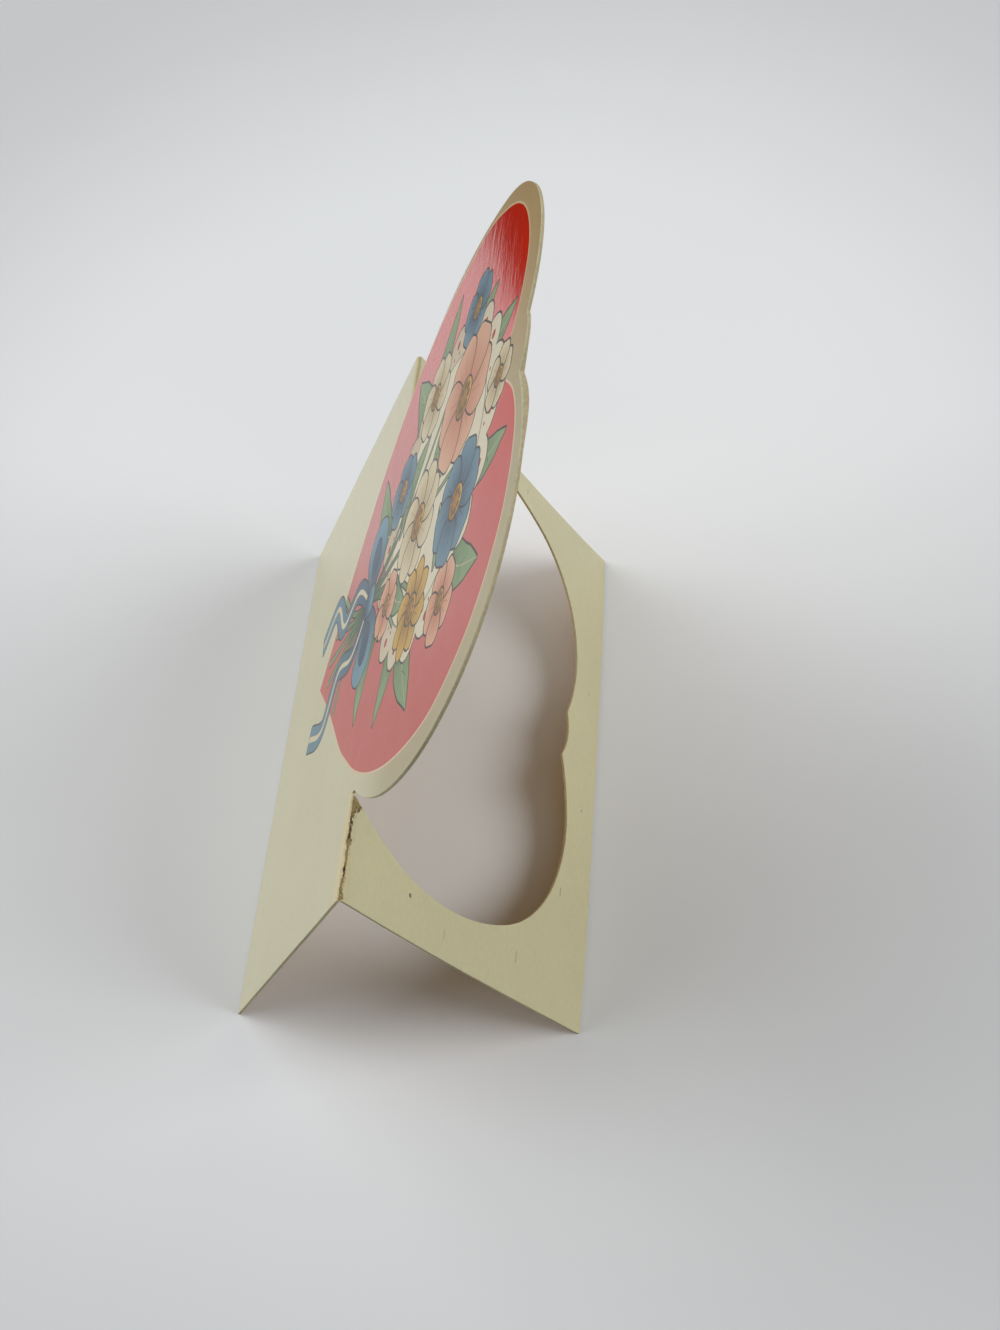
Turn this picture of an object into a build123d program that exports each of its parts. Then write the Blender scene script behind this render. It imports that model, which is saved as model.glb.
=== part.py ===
from build123d import *

import os
from math import atan, cos, degrees, pi, radians, sin, tan

# Stand-up greeting card: one die-cut sheet of paperboard, folded once across its middle into a tent.
# The front panel runs on past the fold as a heart, which is cut free of the rear panel on three
# sides, so the heart stands up in the front panel's plane and leaves its own shape open behind it.
# Frame: X along the fold, the front panel faces -Y, Z up, the origin on the table under the fold.

os.makedirs("parts", exist_ok=True)

# The flat sheet, in millimetres
sheet_width = 127.0  # along the fold
panel_height = 88.9  # from the fold to the bottom edge
board = 0.6  # thickness of the paperboard

# How it stands
tent_angle = 52.2  # between the two panels, in degrees
crease_radius = 0.12  # inside of the fold
rear_bow = 0.9  # hollow of the rear panel between fold and bottom edge

# The die-cut heart on the flat sheet: x along the fold, s away from the fold
near_margin = 12.45  # from the sheet's +X end to the round of that lobe
far_margin = 7.65  # from the sheet's -X end to the round of that lobe
bottom_margin = 11.5  # from the lobes' tops to the rear panel's bottom edge
lobe_overlap = 21.1  # of the two lobes' rounds
flank_angle = 21.5  # direction, seen from a lobe's centre, where its flank leaves the round
near_stub = 20.9  # length of the fold left at the +X end
far_stub = 12.2  # length of the fold left at the -X end
die_cut_clearance = 0.1  # between the heart's edge and the edge of its opening

# The cleft between the lobes holds one low swelling
near_cleft_angle = 100.0  # where the +X lobe leaves its round towards the cleft
far_cleft_angle = 65.0  # where the -X lobe's round ends in the cleft
cleft_depth = 4.1  # below the lobes' tops
cleft_offset = 3.6  # from midway between the lobes, towards +X
swell_depth = 2.1  # of the swelling's top, below the lobes' tops
swell_offset = 1.2  # from midway between the lobes, towards -X

# The fold is cracked at the +X end: the outer ply is torn off in a ragged strip behind the ridge
torn_ply = 0.22  # depth of the tear
torn_width_end = 0.4  # width below the round of the fold, at the sheet's end
torn_width_root = 1.1  # width below the round of the fold, beside the heart
torn_taper = 3  # how quickly the strip narrows away from the heart
torn_ragged = 0.25  # how far its lower edge wanders
torn_teeth = (0.4, 0.1, -0.6, 0.9, -0.8, 0.2, 0.7, -0.9, 0.5, -0.3, -1.0, 0.8, 0.1, -0.5, 0.3)

# Places on the flat sheet
heart_axis = (far_margin - near_margin) / 2
lobe_radius = (sheet_width - near_margin - far_margin + lobe_overlap) / 4
lobe_spacing = 2 * lobe_radius - lobe_overlap
lobe_top = panel_height - bottom_margin
lobe_rise = lobe_top - lobe_radius
near_root = sheet_width / 2 - near_stub
far_root = far_stub - sheet_width / 2
cleft = (heart_axis + cleft_offset, lobe_top - cleft_depth)
swell = (heart_axis - swell_offset, lobe_top - swell_depth)

# Angles of the standing card
half_angle = radians(tent_angle) / 2
bow_angle = 2 * atan(2 * rear_bow / panel_height)
crease_angle = radians(tent_angle) - bow_angle
crease_turn = degrees(pi - crease_angle)

# The ridge is where the two outer faces would meet if the fold were sharp
fold_radius = crease_radius + board
fold_reach = fold_radius / tan(crease_angle / 2)
ridge_height = panel_height * cos(half_angle) + board * sin(half_angle)
ridge = Vector(0, 0, ridge_height)

# The rear panel's chord, so that both bottom edges touch the table
rear_top = fold_reach * cos(half_angle - bow_angle)
rear_chord = (ridge_height - rear_top - board * sin(half_angle + bow_angle)) / cos(half_angle)
bow_radius = rear_chord / (2 * sin(bow_angle))


def panel_plane(side, lean):
    """A plane through the ridge whose x runs along the fold and whose z points out of the tent."""
    return Plane(origin=ridge, x_dir=(1, 0, 0), z_dir=(0, side * cos(lean), sin(lean)))


# On both planes y is s: up the heart on the front plane, down the panel on the rear ones
front_plane = panel_plane(-1, half_angle)
rear_plane = panel_plane(1, half_angle)
torn_plane = panel_plane(1, half_angle - bow_angle)


def heart_cut():
    """The die-cut line from the near root over both lobes to the far root, in the open BuildLine."""
    near_centre = (heart_axis + lobe_spacing / 2, lobe_rise)
    far_centre = (heart_axis - lobe_spacing / 2, lobe_rise)
    far_start = 180 - flank_angle
    near_lobe = CenterArc(near_centre, lobe_radius, flank_angle, near_cleft_angle - flank_angle)
    far_lobe = CenterArc(far_centre, lobe_radius, far_start, far_cleft_angle - far_start)
    TangentArc(near_lobe @ 0, (near_root, 0), tangent=-(near_lobe % 0))
    TangentArc(near_lobe @ 1, cleft, tangent=near_lobe % 1)
    ThreePointArc(cleft, swell, far_lobe @ 1)
    TangentArc(far_lobe @ 0, (far_root, 0), tangent=-(far_lobe % 0))


def torn_edge():
    """Corners of the ragged lower edge of the tear, from the heart's root to the sheet's end."""
    corners = []
    for step, tooth in enumerate(torn_teeth):
        along = step / (len(torn_teeth) - 1)
        x = near_root + along * (sheet_width / 2 - near_root)
        width = torn_width_end + (torn_width_root - torn_width_end) * (1 - along) ** torn_taper
        corners.append((x, fold_reach + width + torn_ragged * tooth))
    return corners


with BuildPart() as card:
    # The fold and the rear panel: one bent strip, cut square along its bottom edge
    with BuildSketch(Plane.YZ):
        with BuildLine():
            fold_start = (-fold_reach * sin(half_angle), ridge_height - fold_reach * cos(half_angle))
            rising = (sin(half_angle), cos(half_angle))
            fold = JernArc(fold_start, rising, fold_radius, -crease_turn)
            JernArc(fold @ 1, fold % 1, bow_radius, degrees(2 * bow_angle))
            offset(amount=board, side=Side.RIGHT)
        make_face()
    extrude(amount=sheet_width / 2, both=True)

    # The heart's opening, through the fold and the rear panel
    with BuildSketch(rear_plane):
        with BuildLine():
            heart_cut()
            above = -2 * fold_reach
            Polyline((near_root, 0), (near_root, above), (far_root, above), (far_root, 0))
        make_face()
        offset(amount=die_cut_clearance)
    extrude(amount=panel_height, both=True, mode=Mode.SUBTRACT)

    # The tear behind the ridge
    with BuildSketch(torn_plane):
        with BuildLine():
            edge = torn_edge()
            past_end = (sheet_width, edge[-1][1])
            past_root = (heart_axis, edge[0][1])
            Polyline(past_root, *edge, past_end, (sheet_width, 0), (heart_axis, 0), close=True)
        make_face()
    extrude(amount=-torn_ply, mode=Mode.SUBTRACT)

    # The front panel and the heart: one flat piece, in one plane
    with BuildSketch(front_plane):
        with BuildLine():
            heart_cut()
            end = sheet_width / 2
            panel = [(end, -fold_reach), (end, -panel_height), (-end, -panel_height), (-end, -fold_reach)]
            roots = (near_root, 0), (near_root, -fold_reach)
            far_roots = (far_root, -fold_reach), (far_root, 0)
            Polyline(*roots, *panel, *far_roots)
        make_face()
    extrude(amount=-board)

card.part.label = "card"
export_step(card.part, "parts/card.step")
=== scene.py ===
from math import atan, atan2, ceil, cos, hypot, pi, radians, sin, sqrt, tan

import bpy
import numpy as np
from numpy.linalg import norm
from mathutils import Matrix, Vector
from mathutils.geometry import delaunay_2d_cdt
from mathutils.kdtree import KDTree


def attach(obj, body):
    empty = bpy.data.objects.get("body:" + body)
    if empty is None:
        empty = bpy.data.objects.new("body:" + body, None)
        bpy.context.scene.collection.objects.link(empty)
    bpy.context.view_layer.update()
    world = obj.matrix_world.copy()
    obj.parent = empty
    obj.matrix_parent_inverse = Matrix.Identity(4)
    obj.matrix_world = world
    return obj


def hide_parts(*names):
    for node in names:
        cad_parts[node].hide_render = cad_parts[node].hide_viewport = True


# Stand-up greeting card: the folded sheet is rebuilt from a flat layout, with its print, varnish, cut edges
# and wear, in the place of the plain solid. Lengths are in millimetres until the mesh is made. On the flat
# sheet x runs along the fold, and near means its +X end. The front panel and the heart have s, which rises
# from the ridge. The fold and the rear panel have t, which runs over the fold and down the panel.

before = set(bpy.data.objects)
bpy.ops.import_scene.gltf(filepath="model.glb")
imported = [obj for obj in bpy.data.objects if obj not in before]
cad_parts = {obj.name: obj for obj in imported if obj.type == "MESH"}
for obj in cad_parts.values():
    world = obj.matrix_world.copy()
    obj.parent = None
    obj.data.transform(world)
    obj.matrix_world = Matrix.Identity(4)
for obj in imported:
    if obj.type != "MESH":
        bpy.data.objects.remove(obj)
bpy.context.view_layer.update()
MM = 0.001

# The flat sheet and how it stands
SHEET_WIDTH = 127  # along the fold
PANEL_HEIGHT = 88.9  # fold to bottom edge
BOARD = 0.6  # thickness
TENT = radians(52.2)  # between the two panels
CREASE_RADIUS = 0.12  # inside of the fold
REAR_BOW = 0.9  # hollow of the rear panel

# The die-cut heart
NEAR_MARGIN = 12.45  # from the sheet's end to the round of that lobe
FAR_MARGIN = 7.65
BOTTOM_MARGIN = 11.5  # from the lobes' tops to the rear panel's bottom edge
LOBE_OVERLAP = 21.1  # of the two lobes' rounds
FLANK = radians(21.5)  # direction from a lobe's centre where its flank starts
NEAR_STUB = 20.9  # length of the fold left at that end
FAR_STUB = 12.2
CLEARANCE = 0.1  # between the heart and its opening
NEAR_CLEFT = radians(100)  # where that lobe's round ends
FAR_CLEFT = radians(65)
CLEFT_DEPTH = 4.1  # below the lobes' tops
CLEFT_OFFSET = 3.6  # from midway between the lobes, towards +X
SWELL_DEPTH = 2.1  # of the low swelling in the cleft
SWELL_OFFSET = 1.2  # towards -X

# Places on the flat sheet
END = SHEET_WIDTH / 2
AXIS = (FAR_MARGIN - NEAR_MARGIN) / 2
LOBE = (SHEET_WIDTH - NEAR_MARGIN - FAR_MARGIN + LOBE_OVERLAP) / 4
SPACING = 2 * LOBE - LOBE_OVERLAP
TOP = PANEL_HEIGHT - BOTTOM_MARGIN
RISE = TOP - LOBE
NEAR_CENTRE = (AXIS + SPACING / 2, RISE)
FAR_CENTRE = (AXIS - SPACING / 2, RISE)
NEAR_ROOT = END - NEAR_STUB
FAR_ROOT = FAR_STUB - END
CLEFT = (AXIS + CLEFT_OFFSET, TOP - CLEFT_DEPTH)
SWELL = (AXIS - SWELL_OFFSET, TOP - SWELL_DEPTH)

# The standing sheet in section; its outer faces would meet at the ridge if the fold were sharp
HALF = TENT / 2
BOW = 2 * atan(2 * REAR_BOW / PANEL_HEIGHT)
CREASE = TENT - BOW
TURN = pi - CREASE
FOLD_RADIUS = CREASE_RADIUS + BOARD
REACH = FOLD_RADIUS / tan(CREASE / 2)
RIDGE = PANEL_HEIGHT * cos(HALF) + BOARD * sin(HALF)
REAR_TOP = REACH * cos(HALF - BOW)
REAR_CHORD = (RIDGE - REAR_TOP - BOARD * sin(HALF + BOW)) / cos(HALF)
BOW_RADIUS = REAR_CHORD / (2 * sin(BOW))
ARC_LENGTH = FOLD_RADIUS * TURN
REAR_LENGTH = ARC_LENGTH + BOW_RADIUS * 2 * BOW


# Values that change smoothly

def eased(u):
    """A share from 0 to 1 with soft ends."""
    u = np.clip(u, 0, 1)
    return u * u * (3 - 2 * u)


def soft_step(value, start, end):
    """0 up to the start, 1 past the end."""
    return eased((value - start) / (end - start))


def mixed(first, last, share):
    """A blend of two colours."""
    return first * (1 - share) + last * share


WAVES = 5  # plain waves in one field of noise


def waves(x, y, scale, seed):
    """Smooth noise from -1 to 1: plain waves about a scale long, drawn from a seed."""
    draw = np.random.default_rng(seed)
    total = np.zeros(np.broadcast(x, y).shape)
    for _ in range(WAVES):
        heading = draw.uniform(0, 2 * pi)
        frequency = draw.uniform(0.6, 1.6) / scale
        phase = draw.uniform(0, 2 * pi)
        total = total + np.sin(2 * pi * frequency * (x * cos(heading) + y * sin(heading)) + phase)
    return total / WAVES


# Curves and outlines on the flat sheet

CUT_STEP = 0.5  # between the points of the die-cut line
PRINT_STEP = 0.6  # between the points of a printed curve


def around(centre, radius, angle):
    """Points of a circle."""
    return np.stack([centre[0] + radius * np.cos(angle), centre[1] + radius * np.sin(angle)], -1)


def arc(centre, radius, start, end, step=CUT_STEP):
    """Points of a circle from one angle to another, with both ends."""
    count = max(2, ceil(abs(end - start) * radius / step))
    return around(centre, radius, np.linspace(start, end, count + 1))


def disc(centre, radius, step):
    """The outline of a whole circle."""
    return arc(centre, radius, 0, 2 * pi, step)[:-1]


def arc_between(centre, first, last, rising):
    """The arc about a centre from one point to another."""
    start, end = (atan2(*(point - centre)[::-1]) for point in (first, last))
    turn = (end - start) % (2 * pi) if rising else -((start - end) % (2 * pi))
    return arc(centre, hypot(*(first - centre)), start, start + turn)


def tangent_arc(first, heading, last):
    """The arc that leaves the first point along a heading and ends at the last."""
    first, heading, last = map(np.array, (first, heading, last))
    left = np.array([-heading[1], heading[0]]) / norm(heading)
    chord = last - first
    radius = (chord @ chord) / (2 * (chord @ left))
    return arc_between(first + left * radius, first, last, radius > 0)


def three_point_arc(first, middle, last):
    """The arc through three points."""
    first, middle, last = map(np.array, (first, middle, last))
    chords = 2 * np.array([middle - first, last - first])
    centre = np.linalg.solve(chords, [middle @ middle - first @ first, last @ last - first @ first])
    return arc_between(centre, first, last, np.linalg.det(chords) > 0)


def smooth(points):
    """A curve through points; a point given twice in a row is a corner."""
    p = np.array(points, float)
    pieces = []
    for i in range(len(p) - 1):
        a, b = p[i], p[i + 1]
        if np.allclose(a, b):
            continue
        before = p[i - 1] if i > 0 and not np.allclose(p[i - 1], a) else 2 * a - b
        after = p[i + 2] if i + 2 < len(p) and not np.allclose(p[i + 2], b) else 2 * b - a
        count = max(2, ceil(norm(b - a) / PRINT_STEP))
        u = np.linspace(0, 1, count, endpoint=False)[:, None]
        square = (2 * before - 5 * a + 4 * b - after) * u ** 2
        cube = (3 * a - before - 3 * b + after) * u ** 3
        pieces.append(0.5 * (2 * a + (b - before) * u + square + cube))
    return np.concatenate(pieces + [p[-1:]])


def densify(points, step):
    """Points along the lines between points, without the last one."""
    dense = []
    for a, b in zip(points, points[1:]):
        count = max(1, ceil(hypot(b[0] - a[0], b[1] - a[1]) / step))
        dense += list(np.linspace(a, b, count, endpoint=False))
    return dense


def strip(points, widths):
    """The outline of a band along a smooth curve, through the given widths."""
    p = smooth(points)
    length = np.r_[0, np.cumsum(norm(np.diff(p, axis=0), axis=1))]
    half = np.interp(length / length[-1], np.linspace(0, 1, len(widths)), widths) / 2
    tangent = np.gradient(p, axis=0)
    tangent /= norm(tangent, axis=1)[:, None]
    left = np.c_[-tangent[:, 1], tangent[:, 0]]
    return np.r_[p + left * half[:, None], (p - left * half[:, None])[::-1]]


def grown(outline, amount):
    """An outline with its edge moved outwards by an amount."""
    p = np.array(outline)
    tangent = np.roll(p, -1, 0) - np.roll(p, 1, 0)
    tangent /= norm(tangent, axis=1)[:, None] + 1e-9
    area = 0.5 * np.sum(p[:, 0] * np.roll(p[:, 1], -1) - np.roll(p[:, 0], -1) * p[:, 1])
    outwards = np.c_[tangent[:, 1], -tangent[:, 0]] * (1 if area > 0 else -1)
    return p + outwards * amount


def inside(points, outline):
    """Which points lie inside an outline."""
    x, y = points[:, 0], points[:, 1]
    found = np.zeros(len(points), bool)
    low, high = outline.min(0), outline.max(0)
    near = np.flatnonzero((x >= low[0]) & (x <= high[0]) & (y >= low[1]) & (y <= high[1]))
    px, py = x[near, None], y[near, None]
    ax, ay = outline[:, 0], outline[:, 1]
    bx, by = np.roll(ax, -1), np.roll(ay, -1)
    crosses = (ay > py) != (by > py)
    with np.errstate(divide="ignore", invalid="ignore"):
        at = ax + (py - ay) * (bx - ax) / (by - ay)
    found[near] = (crosses & (px < at)).sum(1) % 2 == 1
    return found


# The standing sheet: places and outward normals of its outer face

def turned(vector, angle):
    """A vector of the YZ plane turned by an angle from Y towards Z."""
    c, s = np.cos(angle), np.sin(angle)
    return np.stack([vector[0] * c - vector[1] * s, vector[0] * s + vector[1] * c], -1)


UP_FRONT = np.array([sin(HALF), cos(HALF)])
OUT_FRONT = np.array([-cos(HALF), sin(HALF)])
FOLD_START = np.array([-REACH * sin(HALF), RIDGE - REACH * cos(HALF)])
FOLD_CENTRE = FOLD_START - FOLD_RADIUS * OUT_FRONT
OUT_END = turned(OUT_FRONT, -TURN)
FOLD_END = FOLD_CENTRE + FOLD_RADIUS * OUT_END
BOW_CENTRE = FOLD_END + BOW_RADIUS * OUT_END


def front_section(s):
    """YZ places and normals on the front panel and the heart."""
    yz = s[:, None] * UP_FRONT + (0, RIDGE)
    return yz, np.broadcast_to(OUT_FRONT, yz.shape)


def rear_section(t):
    """YZ places and normals on the fold and the rear panel."""
    fold_normal = turned(OUT_FRONT, -np.minimum(t, ARC_LENGTH) / FOLD_RADIUS)
    fold_place = FOLD_CENTRE + FOLD_RADIUS * fold_normal
    rear_normal = turned(OUT_END, np.maximum(t - ARC_LENGTH, 0) / BOW_RADIUS)
    rear_place = BOW_CENTRE - BOW_RADIUS * rear_normal
    on_fold = (t <= ARC_LENGTH)[..., None]
    return np.where(on_fold, fold_place, rear_place), np.where(on_fold, fold_normal, rear_normal)


def rear_s(t):
    """Distance from the ridge down the rear plane."""
    yz, _ = rear_section(t)
    return yz[..., 0] * sin(HALF) - (yz[..., 1] - RIDGE) * cos(HALF)


# The slight waves of an old sheet, which die down towards its bottom edges and the fold
FRONT_WAVE, REAR_WAVE = 0.09, 0.16  # heights
FRONT_FADE = 12  # above the front panel's bottom edge
QUIET_SHARE, QUIET_WIDTH = 0.8, 7  # how much the front calms down at the fold, and how far from it
FOLD_FADE, BOTTOM_FADE = 14, 10  # from the fold down the rear panel, and above its bottom edge
BULGE = 0.75  # of the rear panel's bottom edge, between its two corners
NUDGE = 0.05  # to each side, for the slopes of the waves


def front_lift(x, s):
    """How far the front panel and the heart stand off their plane."""
    hold = np.clip((s + PANEL_HEIGHT) / FRONT_FADE, 0, 1)
    quiet = 1 - QUIET_SHARE * np.exp(-((s + REACH) / QUIET_WIDTH) ** 2)
    return hold * quiet * FRONT_WAVE * waves(x, s, 46, 5)


def rear_lift(x, t):
    """How far the fold and the rear panel stand off their plain form."""
    hold = np.clip(t / FOLD_FADE, 0, 1) * np.clip((REAR_LENGTH - t) / BOTTOM_FADE, 0, 1)
    bulge = BULGE * (1 - np.abs(x / END) ** 4) * np.clip(t / REAR_LENGTH, 0, 1) ** 1.5
    return hold * REAR_WAVE * waves(x, t, 58, 3) + bulge


def place(x, y, section, lift):
    """Places and outward normals, in space, of points of the flat sheet; y is their s or t."""
    yz, normal = section(y)
    x_slope = (lift(x + NUDGE, y) - lift(x - NUDGE, y)) / (2 * NUDGE)
    y_slope = (lift(x, y + NUDGE) - lift(x, y - NUDGE)) / (2 * NUDGE)
    along = np.c_[normal[:, 1], -normal[:, 0]]
    yz = yz + lift(x, y)[:, None] * normal
    out = normal - y_slope[:, None] * along
    tilted = np.c_[-x_slope, out]
    tilted /= norm(tilted, axis=1)[:, None]
    return np.c_[x, yz], tilted


# Colours of the print and of the bare board

def rgb(*values):
    """A colour in linear light."""
    return np.array(values)


CREAM = rgb(0.64, 0.595, 0.365)
# the rear panel's cream: paler than the front's as painted light for the stronger light on its side, and a
# little yellower
LIT_REAR_CREAM = CREAM * rgb(1.11, 1.1, 1.06)
TAN, OLIVE = rgb(0.5, 0.34, 0.14), rgb(0.45, 0.37, 0.18)
RED, RED_FAR = rgb(0.555, 0.034, 0.014), rgb(0.69, 0.026, 0.006)
RIM_LINE = rgb(0.78, 0.55, 0.31)
INK = rgb(0.04, 0.032, 0.026)
PEACH, PEACH_DEEP = rgb(0.74, 0.42, 0.26), rgb(0.55, 0.19, 0.1)
IVORY, IVORY_DEEP = rgb(0.72, 0.62, 0.4), rgb(0.48, 0.36, 0.18)
SLATE, SLATE_DEEP = rgb(0.14, 0.26, 0.33), rgb(0.045, 0.085, 0.13)
SAGE, SAGE_DEEP = rgb(0.25, 0.36, 0.17), rgb(0.075, 0.14, 0.06)
OCHRE, OCHRE_DEEP = rgb(0.66, 0.4, 0.07), rgb(0.34, 0.17, 0.03)
LACE, LACE_SHADE = rgb(0.76, 0.69, 0.5), rgb(0.6, 0.48, 0.32)
# painted highlight on the near stub's rounded fold, where it catches light
FOLD_HIGHLIGHT = CREAM * rgb(1.15, 1.03, 0.85)
SMEAR = CREAM * rgb(1.02, 0.9, 0.74)
# painted shade in the crease of the far stub's fold
CREASE_SHADE = CREAM * rgb(0.58, 0.49, 0.36)
# the torn board, and the painted shade in its crack
TORN, TORN_SHADOW = rgb(0.6, 0.46, 0.21), rgb(0.13, 0.088, 0.032)
LIP = rgb(0.74, 0.66, 0.44)
RAW, RAW_TONED = rgb(0.65, 0.41, 0.165), rgb(0.53, 0.315, 0.11)
EDGE_PLIES = np.array([(0.76, 0.72, 0.48), (0.66, 0.59, 0.36), (0.69, 0.56, 0.36)])  # from the print inwards

# The print: fields painted in order, each an outline, a paint and a gloss. A paint is one colour, or a blend
# given by where it starts, where it ends and its two colours.

GROUND_GLOSS, POSY_GLOSS = 1, 0.5  # shares of the varnish
INK_LINE = 0.42  # width of the dark line around a shape
front_fields = []


def field(outline, paint, gloss=POSY_GLOSS):
    """Paints one field over those before it."""
    front_fields.append((np.array(outline, float), paint, gloss))


def outlined(outline, paint, line=INK_LINE):
    """Paints one field with a dark line around it."""
    field(grown(outline, line), INK)
    field(outline, paint)


def colour_at(points, paint):
    """The colours of a paint at some points."""
    if len(paint) == 3:
        return np.broadcast_to(paint, (len(points), 3))
    start, end, first, last = paint
    axis = np.subtract(end, start)
    share = ((points - start) @ axis) / (axis @ axis)
    return mixed(first, last, eased(share)[:, None])


# The heart-shaped ground, which has its corner in the cleft

HEART_PRINT = smooth([
    (-3.8, -53), (9.5, -37), (25, -20.4), (31.4, -11.9), (37.7, -2.2), (43.3, 10.5), (46.9, 24.6),
    (47.9, 38.9), (46.1, 50), (39.8, 62.4), (28.4, 71.4), (15.5, 74), (4, 71.4), (-5.4, 63.4),
    (-5.4, 63.4), (-14.6, 69.6), (-26, 72.1), (-36.4, 69.9), (-44.8, 64.3), (-51.2, 55.8), (-55.5, 46),
    (-56.9, 34), (-56.6, 20), (-54.3, 8), (-49.8, -2.2), (-44.2, -11.3), (-37.6, -20.6),
    (-20.5, -38.5), (-3.8, -53)])[:-1]
RIM_WIDTH = 0.4  # of the thin paler line where the red ends

field(grown(HEART_PRINT, RIM_WIDTH), RIM_LINE, GROUND_GLOSS)
RED_FIELD = len(front_fields)
field(HEART_PRINT, ((12, 30), (-28, 66), RED, RED_FAR), GROUND_GLOSS)

# A posy on paper lace

TIE = (-5, -12)  # where its stems and its ribbon are tied
PETAL_POINTS = 15  # along each side of a petal
PETAL_START = 0.03  # share of a petal's length that its flower's centre hides
VEIN_TURN = 0.16  # of a petal's two veins from its middle
EYE_DOTS = 8


def petal(centre, angle, length, width, notch):
    """A petal at an angle from a flower's centre, with a notched tip."""
    outwards = np.linspace(PETAL_START, 1, PETAL_POINTS)
    back = np.linspace(1, PETAL_START, PETAL_POINTS)[1:]
    u = np.r_[outwards, back]
    side = np.where(np.arange(len(u)) < PETAL_POINTS, 1, -1)
    aside = side * width / 2 * np.sin(pi * u ** 1.35) ** 0.62
    aside[PETAL_POINTS - 1] = 0
    along = u * length * (1 - notch * np.exp(-(aside / (0.22 * width)) ** 2) * (u > 0.9))
    c, s = cos(angle), sin(angle)
    return np.c_[centre[0] + along * c - aside * s, centre[1] + along * s + aside * c]


def flower(centre, radius, petals, light, deep, turn, width=0.86, notch=0.1, eye=0.26):
    """A blossom of veined petals around a dotted eye."""
    for k in range(petals):
        angle = turn + 2 * pi * k / petals
        tip = around(centre, radius, angle)
        outline = petal(centre, angle, radius, radius * width * 5 / petals, notch)
        outlined(outline, (centre, tip, deep, light))
        for side in (-VEIN_TURN, VEIN_TURN):
            vein = [around(centre, share * radius, angle + side) for share in (0.36, 0.55, 0.72)]
            field(strip(vein, (0.34, 0.26, 0.06)), deep)
    eye_radius = eye * radius
    eye_top = (centre[0], centre[1] + eye_radius)
    outlined(disc(centre, eye_radius, 0.35), (centre, eye_top, OCHRE_DEEP, OCHRE))
    for k in range(EYE_DOTS):
        dot = around(centre, 0.62 * eye_radius, turn + 0.3 + 2 * pi * k / EYE_DOTS)
        field(disc(dot, 0.055 * radius, 0.2), OCHRE_DEEP * 0.5)


def leaf(base, tip, width, bend):
    """A bent leaf with its midrib and three pairs of veins."""
    base, tip = np.array([base, tip], float)
    axis = tip - base
    length = norm(axis)
    left = np.array([-axis[1], axis[0]])
    line = [base, (base + tip) / 2 + bend * left, tip]
    body = strip(line, (0.1, width * 0.72, width, width * 0.92, width * 0.6, 0.06))
    outlined(body, (base, tip, SAGE_DEEP, SAGE))
    field(strip(line, (0.45, 0.35, 0.1)), IVORY * 0.75)
    midrib = smooth(line)
    for share in (0.3, 0.48, 0.66):
        start = midrib[int(share * (len(midrib) - 1))]
        for side in (1, -1):
            end = start + axis / length * width * 0.34 + left / length * side * width * 0.3
            field(strip([start, (start + end) / 2, end], (0.26, 0.2, 0.05)), SAGE_DEEP)


def stem(bend, end, dark_widths, widths):
    """A stem from the tie through a bend to its end, with a dark line around it."""
    line = [TIE, bend, end]
    field(strip(line, dark_widths), INK)
    field(strip(line, widths), (TIE, end, SAGE_DEEP, SAGE))


def doily(centre, radius, scallops):
    """A round of paper lace: a scalloped rim with eyelets, and a thin ring inside it."""
    angle = np.linspace(0, 2 * pi, scallops * 10, endpoint=False)
    rim = around(centre, radius * (1 + 0.11 * np.abs(np.sin(scallops * angle / 2)) ** 0.8), angle)
    lit = 0.9  # direction of its paler side
    outlined(rim, (around(centre, radius, lit), around(centre, radius, lit + pi), LACE, LACE_SHADE))
    for k in range(scallops):
        middle = (k + 0.5) * 2 * pi / scallops
        field(disc(around(centre, radius * 0.99, middle), 0.95, 0.4), RED * 0.8)
        for side in (-0.055, 0.055):
            field(disc(around(centre, radius * 0.91, middle + side), 0.42, 0.3), RED * 0.8)
    field(disc(centre, radius * 0.86, 0.7), LACE_SHADE * 0.55)
    field(disc(centre, radius * 0.845, 0.7), LACE)


def from_tie(points, side=1):
    """Points given from the tie, and mirrored where the side is -1."""
    return [(TIE[0] + side * x, TIE[1] + y) for x, y in points]


def ribbon_loop(side):
    """One loop of the bow, with its dark inside and the two creases at the knot."""
    edge = [(8, 7.6), (17, 6.2), (20, -0.5), (15, -6.2), (7, -4)]
    loop = smooth(from_tie([(0, 0), *edge, (0, 0)], side))[:-1]
    outlined(loop, (TIE, from_tie([(19, 0)], side)[0], SLATE_DEEP, SLATE * 1.15))
    hollow = [(3 + 0.62 * x, 0.4 + 0.45 * y) for x, y in edge]
    outlined(smooth(from_tie([(5, 0), *hollow, (5, 0)], side))[:-1], SLATE_DEEP, 0.2)
    for slope in (-0.5, 0.35):
        crease = from_tie([(1.5, slope), (4.5, 2.6 * slope), (8, 4.6 * slope)], side)
        field(strip(crease, (0.5, 0.4, 0.08)), INK)


STEM_ENDS = [(-20, -38), (-13, -43), (-7, -46), (-1, -44.5), (6, -40), (12, -33)]
BLOSSOM_STEM_ENDS = [(-22, 18), (14, 12), (-2, 42), (-27, 36), (22, 33)]
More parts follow.
